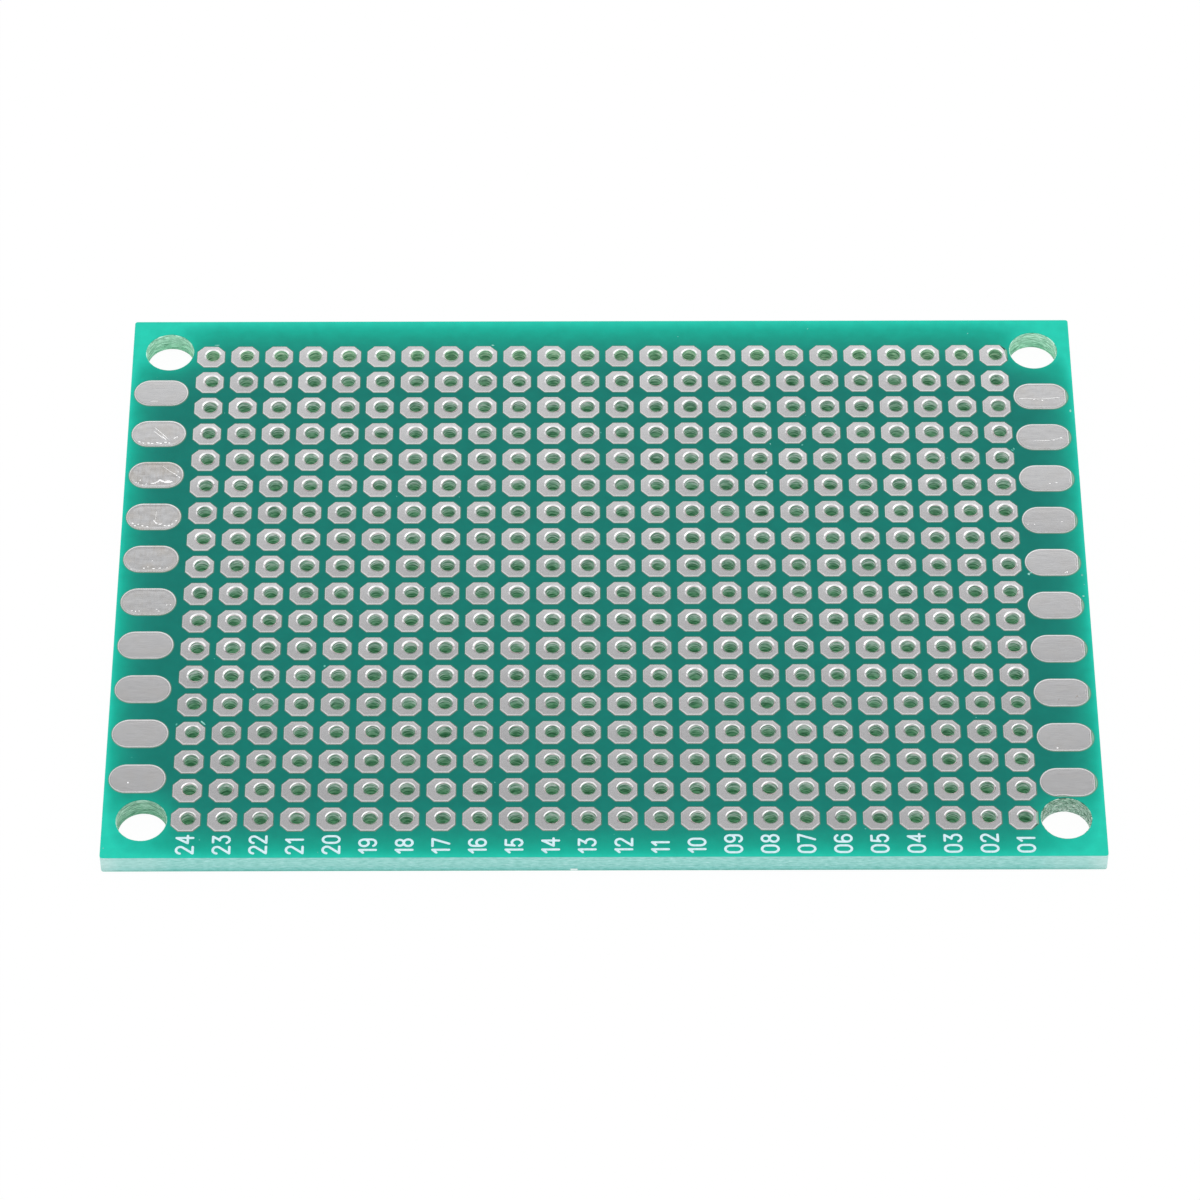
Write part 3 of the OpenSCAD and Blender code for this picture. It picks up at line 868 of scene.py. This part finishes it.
# Beads and ridges of tin that scuffing has left on the long pads. Each has its place from the
# pad's middle, half its length and half its width in millimetres, and its turn in degrees.
LEFT_BEADS = {
    1: [(-0.5, -0.8, 0.35, 0.015, 2)],
    2: [
        (0.2, 0.05, 0.95, 0.018, -47), (0.0, -0.1, 0.6, 0.022, -44), (0.42, -0.42, 0.3, 0.03, -50),
        (-1.4, -0.78, 0.08, 0.045, -30), (-1.1, -0.9, 0.08, 0.045, 0), (-0.72, -0.9, 0.11, 0.055, 0),
        (-0.46, -0.94, 0.11, 0.05, 5), (-0.06, -0.88, 0.12, 0.06, -20), (0.18, -0.92, 0.09, 0.055, 0),
        (0.54, -0.84, 0.11, 0.055, 10), (0.8, -0.9, 0.08, 0.055, 0), (1.2, -0.41, 0.1, 0.045, 35),
        (1.36, -0.31, 0.07, 0.04, 20)
    ],
    3: [
        (-0.2, -0.8, 0.21, 0.05, 8), (0.12, -0.64, 0.25, 0.055, 32), (0.3, -0.48, 0.1, 0.06, 0),
        (0.48, -0.6, 0.22, 0.07, -24), (0.92, -0.68, 0.34, 0.085, 6), (0.85, -0.58, 0.2, 0.04, 10),
        (-1.15, -0.5, 0.06, 0.04, 40), (-1.28, -0.77, 0.05, 0.04, 0), (-1.45, -0.72, 0.05, 0.035, 0),
        (-0.97, -0.95, 0.06, 0.04, 0), (-0.7, -0.88, 0.06, 0.04, 0), (1.34, 0.12, 0.07, 0.04, -30),
        (1.48, -0.02, 0.08, 0.04, -45), (1.68, -0.2, 0.09, 0.04, -40), (1.58, 0.3, 0.04, 0.03, 0),
        (0.9, 0.45, 0.7, 0.014, -40)
    ],
    4: [
        (0.06, -0.42, 0.13, 0.045, -60), (0.2, -0.6, 0.13, 0.055, -40), (0.5, -0.7, 0.15, 0.055, 0),
        (0.84, -0.84, 0.1, 0.055, -15), (1.14, -0.84, 0.11, 0.06, 10), (1.36, -0.7, 0.08, 0.05, 35),
        (1.64, -0.4, 0.06, 0.045, 50), (-1.5, -0.62, 0.09, 0.05, -40), (-1.32, -0.84, 0.07, 0.05, 0),
        (-1.1, -0.72, 0.06, 0.04, 0), (-0.78, -0.86, 0.08, 0.05, 0), (-0.42, -0.95, 0.08, 0.05, 0),
        (0.16, 0.1, 0.5, 0.014, 86)
    ],
    5: [
        (-0.48, -0.86, 0.08, 0.04, 0), (-0.18, -0.75, 0.05, 0.035, 0), (0.22, -0.9, 0.1, 0.04, 0),
        (0.66, -0.86, 0.1, 0.04, 5), (1.2, -0.84, 0.05, 0.035, 0), (0.1, -0.16, 0.05, 0.03, 0),
        (-1.4, -0.94, 0.05, 0.03, 0)
    ],
    6: [
        (-1.15, -0.82, 0.07, 0.035, 0), (-0.88, -0.87, 0.06, 0.04, 0), (-0.62, -0.84, 0.05, 0.035, 0),
        (0.62, -0.7, 0.05, 0.03, 0), (0.78, -0.86, 0.05, 0.03, 0), (1.34, -0.3, 0.05, 0.03, 0),
        (1.6, -0.28, 0.05, 0.03, 0)
    ],
    10: [(-0.64, -0.34, 0.06, 0.06, 0)]
}
RIGHT_BEADS = {
    1: [
        (-1.3, -0.2, 0.32, 0.022, 4), (-0.78, -0.22, 0.3, 0.018, -5), (-0.3, -0.26, 0.3, 0.014, -4),
        (-0.5, -0.3, 0.06, 0.03, 0), (0.12, -0.4, 0.06, 0.045, 0), (0.4, -0.24, 0.4, 0.014, 4),
        (0.92, -0.17, 0.24, 0.02, 6), (1.28, -0.14, 0.16, 0.025, -8)
    ],
    2: [
        (-0.2, -0.34, 0.6, 0.012, 1), (0.3, -0.32, 0.2, 0.022, 0), (0.75, -0.3, 0.08, 0.025, 0),
        (1.0, -0.2, 0.5, 0.012, 6), (1.3, -0.05, 0.12, 0.02, 10)
    ],
    3: [(0.24, -0.5, 0.06, 0.03, 0), (0.72, -0.42, 0.08, 0.03, 0)],
    4: [(-1.57, -0.4, 0.04, 0.03, 0), (-1.1, -0.4, 0.05, 0.03, 0), (0.9, -0.17, 0.06, 0.03, 0)],
    5: [(1.02, -0.9, 0.06, 0.05, 30), (0.88, -0.96, 0.04, 0.03, 0)], 9: [(-0.58, -0.96, 0.06, 0.05, 0)]
}
# Brown stains that flux has left, in the same terms
RIGHT_STAINS = {
    8: [(1.06, -0.34, 0.09, 0.06, 30), (-0.24, -0.66, 0.06, 0.05, 60), (0.95, -0.5, 0.04, 0.03, 0)]
}
BEAD_HEIGHT = 0.005 * MM
# A bead's middle lies this many of its heights below what it may reach
BEAD_DEPTH = 1.2
# How many of a bead's heights a fleck may stand above the mask
FLECK_RISE = 1.5
# Dust and flecks of tin on the mask, in the same terms but placed from the board's middle
FLECKS = [
    (-28.31, -13.16, 0.26, 0.06, 133), (30.79, 0.31, 0.11, 0.09, 87), (34.64, 0.2, 0.1, 0.08, 87),
    (-19.86, -8.05, 0.09, 0.08, 106), (30.2, 12.11, 0.12, 0.05, 136), (30.32, 12.24, 0.1, 0.06, 109),
    (12.03, 10.0, 0.1, 0.07, 88), (-30.18, -13.29, 0.1, 0.06, 71), (-28.77, 22.65, 0.2, 0.03, 0),
    (-8.14, 22.59, 0.11, 0.05, 162), (14.74, 12.67, 0.08, 0.06, 46), (34.7, 15.95, 0.14, 0.07, 89),
    (-29.44, -17.12, 0.09, 0.08, 20), (30.95, 0.42, 0.08, 0.05, 20), (34.62, -1.77, 0.08, 0.07, 0)
]


def beads_group():
    """Sets a flattened bead on every point, as long, wide and turned as the point says."""
    tree, given = new_group("beads_of_tin", {"Height": "Float", "Finish": "Material"})
    asked = {}
    for label in ("length", "width", "turn"):
        asked[label] = add(
            tree, "GeometryNodeInputNamedAttribute", {"Name": label}, data_type="FLOAT"
        )[0]
    size = add(
        tree, "ShaderNodeCombineXYZ", {"X": asked["length"], "Y": asked["width"], "Z": given["Height"]}
    )[0]
    turn = add(tree, "ShaderNodeCombineXYZ", {"Z": asked["turn"]})[0]
    ball = add(tree, "GeometryNodeMeshIcoSphere", {"Radius": 1.0, "Subdivisions": 2})[0]
    real = set_on(tree, given["Geometry"], ball, {"Rotation": turn, "Scale": size})
    rounded = add(tree, "GeometryNodeSetShadeSmooth", {"Geometry": real, "Shade Smooth": True})[0]
    return end_group(tree, rounded, given["Finish"])


def on_long_pads(left_beads, right_beads):
    """The rows of both sides' tables, placed from the board's middle."""
    placed = []
    for names, beads in ((left_pads, left_beads), (right_pads, right_beads)):
        for k, rows in beads.items():
            low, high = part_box(names[k - 1])
            middle = (low + high) / 2 * TO_MM
            placed += [(middle.x + row[0], middle.y + row[1], *row[2:]) for row in rows]
    return placed


def make_beads(name, rows, top, finish):
    """One piece of the beads of a table, which reach almost up to the given height."""
    places = [(x * MM, y * MM, top - BEAD_DEPTH * BEAD_HEIGHT) for x, y, _, _, _ in rows]
    numbers = {
        "length": [row[2] * MM for row in rows], "width": [row[3] * MM for row in rows],
        "turn": [math.radians(row[4]) for row in rows]
    }
    return grown(
        name, points_mesh(name + "_points", places, **numbers), beads_group(),
        {"Height": BEAD_HEIGHT, "Finish": finish}
    )


# Printed column numbers

DIGIT_HEIGHT = 1.15 * MM
DIGIT_WIDTH = 0.575 * MM
PEN = 0.175 * MM
INK_LOW = MASK_TOP - 0.002 * MM
INK_HIGH = MASK_TOP + 0.008 * MM
# Where a number's box starts, and how far its feet lie to the right of its column
NUMBER_START = -BOARD_Y + 0.2 * MM
NUMBER_FOOT = 0.658 * MM
# The numbers are printed a touch wider apart than the columns are
NUMBER_STEP = PITCH + 0.0023 * MM
# Room before a digit's ink, and the step to the next digit: a 1 is narrow
SPACE = 0.0625 * MM
SPACE_ONE = 0.1 * MM
ADVANCE = 0.9 * MM
ADVANCE_ONE = 0.605 * MM


def arc(x, y, width, height, start, end, steps=9):
    """Points along an ellipse's arc, between two angles in degrees, in parts of a digit's size."""
    turns = [math.radians(start + (end - start) * k / steps) for k in range(steps + 1)]
    return [(x + width * math.cos(t), y + height * math.sin(t)) for t in turns]


def digit_strokes(digit):
    """The pen's strokes for a digit, in parts of its width and height. A stroke has no sharp turn,
    so a corner is where one stroke ends and the next begins."""
    return [
        [
            arc(0.5, 0.68, 0.5, 0.32, 0, 180) + arc(0.5, 0.32, 0.5, 0.32, 180, 270),
            arc(0.5, 0.32, 0.5, 0.32, 260, 360) + [(1, 0.68)]
        ],
        [[(0, 0.77), (0.42, 1)], [(0.42, 1), (0.42, 0)]],
        [arc(0.5, 0.745, 0.5, 0.255, 175, -35) + [(0.02, 0)], [(0.02, 0), (1, 0)]],
        [[(0.1, 1), (0.95, 1)], [(0.95, 1), (0.46, 0.6)], arc(0.48, 0.3, 0.52, 0.3, 100, -155)],
        [[(0.78, 0), (0.78, 1)], [(0.78, 1), (0, 0.32)], [(0, 0.32), (1.1, 0.32)]],
        [[(0.87, 1), (0.14, 1)], [(0.14, 1), (0.07, 0.57)], arc(0.48, 0.32, 0.52, 0.32, 150, -155)],
        [
            arc(0.5, 0.74, 0.5, 0.26, 25, 180) + arc(0.5, 0.28, 0.5, 0.28, 180, 270),
            arc(0.5, 0.28, 0.5, 0.28, 260, 540, 16)
        ],
        [[(0, 1), (1.05, 1)], [(1.05, 1), (0.35, 0)]],
        [
            arc(0.5, 0.765, 0.44, 0.235, -90, 200, 14), arc(0.5, 0.765, 0.44, 0.235, 190, 280),
            arc(0.5, 0.265, 0.5, 0.265, 90, 380, 14), arc(0.5, 0.265, 0.5, 0.265, 10, 100)
        ],
        [
            arc(0.5, 0.26, 0.5, 0.26, -155, 0) + arc(0.5, 0.72, 0.5, 0.28, 0, 90),
            arc(0.5, 0.72, 0.5, 0.28, 80, 360, 16)
        ]
    ][digit]


def pen_outline(line, round_steps=6):
    """Outline of a pen line with round ends, anticlockwise."""
    points = [Vector((x * DIGIT_WIDTH, y * DIGIT_HEIGHT)) for x, y in line]
    ways = [(b - a).normalized() for a, b in zip(points, points[1:])]
    forward = []
    backward = []
    for k, point in enumerate(points):
        before = ways[max(k - 1, 0)]
        after = ways[min(k, len(ways) - 1)]
        way = (before + after).normalized()
        aside = Vector((-way.y, way.x)) * (PEN / 2) / max(way.dot(after), 0.5)
        forward.append(point - aside)
        backward.append(point + aside)
    ends = []
    for point, way in ((points[-1], ways[-1]), (points[0], -ways[0])):
        start = math.atan2(-way.x, way.y)
        turns = [start + math.pi * k / round_steps for k in range(1, round_steps)]
        ends.append([point + Vector((math.cos(t), math.sin(t))) * PEN / 2 for t in turns])
    return forward + ends[0] + backward[::-1] + ends[1]


def digit_shape(digit):
    """A digit as one flat slab of ink: its strokes merged into one outline."""
    points = []
    outlines = []
    for line in digit_strokes(digit):
        outline = pen_outline(line)
        outlines.append(list(range(len(points), len(points) + len(outline))))
        points += [p * TO_MM for p in outline]
    places, _, faces, _, _, sources = delaunay_2d_cdt(points, [], outlines, 0, 0.0001)
    inked = [face for face, source in zip(faces, sources) if source]
    used = sorted({k for face in inked for k in face})
    upper = [[used.index(k) for k in face] for face in inked]
    # The faces run anticlockwise, so an edge that none runs back along is on the outline
    edges = [(a, b) for face in upper for a, b in zip(face, face[1:] + face[:1])]
    outer = sorted(set(edges) - {(b, a) for a, b in edges})
    count = len(used)
    lower = [[count + k for k in reversed(face)] for face in upper]
    walls = [(b, a, count + a, count + b) for a, b in outer]
    corners = [(places[k].x * MM, places[k].y * MM, z) for z in (INK_HIGH, INK_LOW) for k in used]
    mesh = bpy.data.meshes.new(f"digit_shape_{digit}")
    mesh.from_pydata(corners, [], upper + lower + walls)
    return mesh


def numbers_group():
    """Sets the digit that each point asks for, turned to read from the front side inwards."""
    tree, given = new_group("printed_numbers", {"Digits": "Collection", "Finish": "Material"})
    turned = {"Rotation": (0, 0, math.pi / 2)}
    real = set_picked(tree, given["Geometry"], given["Digits"], "digit", turned)
    return end_group(tree, real, given["Finish"])


def make_numbers():
    """The numbers of the columns, counted from the right, printed along the front side."""
    places = []
    digits = []
    for number in range(1, len(columns) + 1):
        foot = FIRST_X - (number - 1) * NUMBER_STEP + NUMBER_FOOT
        start = NUMBER_START
        for digit in divmod(number, 10):
            space = SPACE_ONE if digit == 1 else SPACE
            places.append((foot, start + space + PEN / 2, 0))
            digits.append(digit)
            start += ADVANCE_ONE if digit == 1 else ADVANCE
    shapes = shape_collection("digit_shapes", [digit_shape(k) for k in range(10)])
    piece = grown(
        "column_numbers", points_mesh("number_points", places, digit=digits), numbers_group(),
        {"Digits": shapes, "Finish": ink_material()}
    )
    clear_shapes(shapes)
    return piece


def specks_group():
    """Scatters flat specks over the upper face of the mask."""
    tree, given = new_group(
        "specks_of_dust",
        {
            "Surface height": "Float", "Specks per square metre": "Float", "Smallest": "Float",
            "Largest": "Float", "Thickness": "Float", "Seed": "Int", "Finish": "Material"
        }
    )
    place = add(tree, "GeometryNodeInputPosition")[0]
    height = add(tree, "ShaderNodeSeparateXYZ", {0: place})["Z"]
    low = add(
        tree, "ShaderNodeMath", {0: given["Surface height"], 1: 0.001 * MM}, operation="SUBTRACT"
    )[0]
    normal = add(tree, "GeometryNodeInputNormal")[0]
    facing = add(tree, "ShaderNodeSeparateXYZ", {0: normal})["Z"]
    high = add(tree, "ShaderNodeMath", {0: height, 1: low}, operation="GREATER_THAN")[0]
    up = add(tree, "ShaderNodeMath", {0: facing, 1: 0.9}, operation="GREATER_THAN")[0]
    upper = add(tree, "ShaderNodeMath", {0: high, 1: up}, operation="MULTIPLY")[0]
    points = add(
        tree, "GeometryNodeDistributePointsOnFaces",
        {
            "Mesh": given["Geometry"], "Selection": upper, "Density": given["Specks per square metre"],
            "Seed": given["Seed"]
        }
    )[0]
    radius = add(
        tree, "FunctionNodeRandomValue",
        {2: given["Smallest"], 3: given["Largest"], "Seed": given["Seed"]}, data_type="FLOAT"
    )[1]
    length = add(tree, "ShaderNodeMath", {0: radius, 1: 1.5}, operation="MULTIPLY")[0]
    size = add(tree, "ShaderNodeCombineXYZ", {"X": radius, "Y": length, "Z": given["Thickness"]})[0]
    turn = add(
        tree, "FunctionNodeRandomValue", {0: (0, 0, 0), 1: (0, 0, 2 * math.pi), "Seed": given["Seed"]},
        data_type="FLOAT_VECTOR"
    )[0]
    speck = add(tree, "GeometryNodeMeshIcoSphere", {"Radius": 1.0, "Subdivisions": 1})[0]
    real = set_on(tree, points, speck, {"Rotation": turn, "Scale": size})
    return end_group(tree, real, given["Finish"])


def make_specks(finish):
    """Fine dust on the mask, up to about 0.1 mm."""
    surface = frame["nodes"]["top_mask"].data.copy()
    merged = bmesh.new()
    merged.from_mesh(surface)
    bmesh.ops.remove_doubles(merged, verts=merged.verts, dist=0.0001 * MM)
    merged.to_mesh(surface)
    merged.free()
    return grown(
        "mask_specks", surface, specks_group(),
        {
            "Surface height": MASK_TOP, "Specks per square metre": 20000.0, "Smallest": 0.02 * MM,
            "Largest": 0.045 * MM, "Thickness": 0.007 * MM, "Seed": 11, "Finish": finish
        }
    )


# The board's finishes and pieces

laminate = laminate_material()
mask = mask_material()
for name, material in (("laminate", laminate), ("top_mask", mask), ("underside_mask", mask)):
    for material_slot in frame["nodes"][name].material_slots:
        material_slot.material = material

grid_pads, long_pads = make_pads()
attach(grid_pads, "root")
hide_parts(*columns)
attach(long_pads, "root")
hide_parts(*left_pads, *right_pads)
tin_beads = make_beads("tin_beads", on_long_pads(LEFT_BEADS, RIGHT_BEADS), PAD_TOP, bead_material())
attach(tin_beads, "root")
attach(make_beads("flux_stains", on_long_pads({}, RIGHT_STAINS), PAD_TOP, flux_material()), "root")
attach(make_numbers(), "root")
dust = dust_material()
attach(make_specks(dust), "root")
fleck_top = MASK_TOP + FLECK_RISE * BEAD_HEIGHT
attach(make_beads("mask_flecks", FLECKS, fleck_top, dust), "root")


# Camera, light and floor

scene = bpy.context.scene
scene.view_settings.view_transform = "Standard"


def make_camera():
    """The photo's view: a long lens, from the front and above."""
    data = bpy.data.cameras.new("photo_camera")
    data.lens = 164.46
    data.sensor_width = 36.0
    data.clip_start = 0.01
    data.clip_end = 20.0
    camera = bpy.data.objects.new("photo_camera", data)
    scene.collection.objects.link(camera)
    place = Vector((-1.309, -251.491, 307.375)) * MM
    aim = Vector((-0.21, -2.03, 1.6)) * MM
    turn = (aim - place).to_track_quat("-Z", "Y").to_matrix().to_4x4()
    roll = Matrix.Rotation(math.radians(0.063), 4, "Z")
    camera.matrix_world = Matrix.Translation(place) @ turn @ roll
    scene.camera = camera


def make_world():
    """A white surround for the camera. Metal mirrors a studio that is bright overhead, at both
    sides and half-way up at the back, with a darker gap between, and what is matt gets an even
    light."""
    world = bpy.data.worlds.new("pale_studio")
    world.use_nodes = True
    tree = world.node_tree
    tree.nodes.clear()
    ray = add(tree, "ShaderNodeLightPath")
    way = add(tree, "ShaderNodeTexCoord")["Generated"]
    way = add(tree, "ShaderNodeSeparateXYZ", {0: way})
    back = add(tree, "ShaderNodeMath", {0: way["Y"], 1: 0.5, 2: 0.5}, operation="MULTIPLY_ADD")[0]
    mirrored = add(
        tree, "ShaderNodeValToRGB", {"Fac": back},
        [
            (0.0, "DADADA"), (0.3, "F8F8F8"), (0.74, "FFFFFF"), (0.76, "A0A0A0"), (0.785, "939393"),
            (0.82, "BFBFBF"), (0.834, "ECECEC"), (0.86, "EFEFEF")
        ]
    )[0]
    low = add(
        tree, "ShaderNodeMapRange",
        {"Value": way["Z"], "From Min": 0.2, "From Max": 0.5, "To Min": 0.45, "To Max": 1.0}
    )[0]
    # Brighter from both sides, and a touch more so from the right
    level = add(tree, "ShaderNodeMath", {0: way["X"], 1: 0.2, 2: 1.0}, operation="MULTIPLY_ADD")[0]
    aside = add(tree, "ShaderNodeMath", {0: way["X"]}, operation="ABSOLUTE")[0]
    aside = add(
        tree, "ShaderNodeMapRange",
        {"Value": aside, "From Min": 0.2, "From Max": 0.5, "To Min": 1.0, "To Max": 1.45}
    )[0]
    for share in (aside, low):
        level = add(tree, "ShaderNodeMath", {0: level, 1: share}, operation="MULTIPLY")[0]
    mirrored = add(tree, "ShaderNodeVectorMath", {0: mirrored, "Scale": level}, operation="SCALE")[0]
    even = add(tree, "ShaderNodeBackground", {"Color": linear("FFFFFF"), "Strength": 0.85})[0]
    studio = add(tree, "ShaderNodeBackground", {"Color": mirrored, "Strength": 1.7})[0]
    white = add(tree, "ShaderNodeBackground", {"Color": linear("FFFFFF"), "Strength": 1.0})[0]
    clear = add(
        tree, "ShaderNodeMath", {0: ray["Is Camera Ray"], 1: ray["Is Transmission Ray"]},
        operation="MAXIMUM"
    )[0]
    lit = add(tree, "ShaderNodeMixShader", {0: ray["Is Glossy Ray"], 1: even, 2: studio})[0]
    seen = add(tree, "ShaderNodeMixShader", {0: clear, 1: lit, 2: white})[0]
    add(tree, "ShaderNodeOutputWorld", {"Surface": seen})
    scene.world = world


def make_softbox():
    """A softbox overhead, which gives the board its shadow."""
    data = bpy.data.lights.new("overhead_softbox", "AREA")
    data.shape = "RECTANGLE"
    data.size = 0.35
    data.size_y = 0.35
    # An area light's radiance is its power over its area and pi
    radiance = 1.4
    data.energy = radiance * data.size * data.size_y * math.pi
    softbox = bpy.data.objects.new("overhead_softbox", data)
    softbox.location = (0.0, 0.0, 0.5)
    # Its reflection is in the studio's surround already
    softbox.visible_glossy = False
    scene.collection.objects.link(softbox)


def make_floor():
    """White paper that the board lies on, white to the camera but for the board's soft shadow."""
    half = 3.0
    mesh = bpy.data.meshes.new("floor")
    corners = [(-half, -half), (half, -half), (half, half), (-half, half)]
    mesh.from_pydata([(x, y, -0.02 * MM) for x, y in corners], [], [(0, 1, 2, 3)])
    material = bpy.data.materials.new("white_paper")
    material.use_nodes = True
    tree = material.node_tree
    tree.nodes.clear()
    ray = add(tree, "ShaderNodeLightPath")
    paper = add(tree, "ShaderNodeBsdfDiffuse", {"Color": linear("FFFFFF")})[0]
    white = add(tree, "ShaderNodeEmission", {"Color": linear("FFFFFF"), "Strength": 1.0})[0]
    share = add(tree, "ShaderNodeMath", {0: ray["Is Camera Ray"], 1: 0.96}, operation="MULTIPLY")[0]
    seen = add(tree, "ShaderNodeMixShader", {0: share, 1: paper, 2: white})[0]
    add(tree, "ShaderNodeOutputMaterial", {"Surface": seen})
    mesh.materials.append(material)
    floor = bpy.data.objects.new("floor", mesh)
    scene.collection.objects.link(floor)


make_camera()
make_world()
make_softbox()
make_floor()
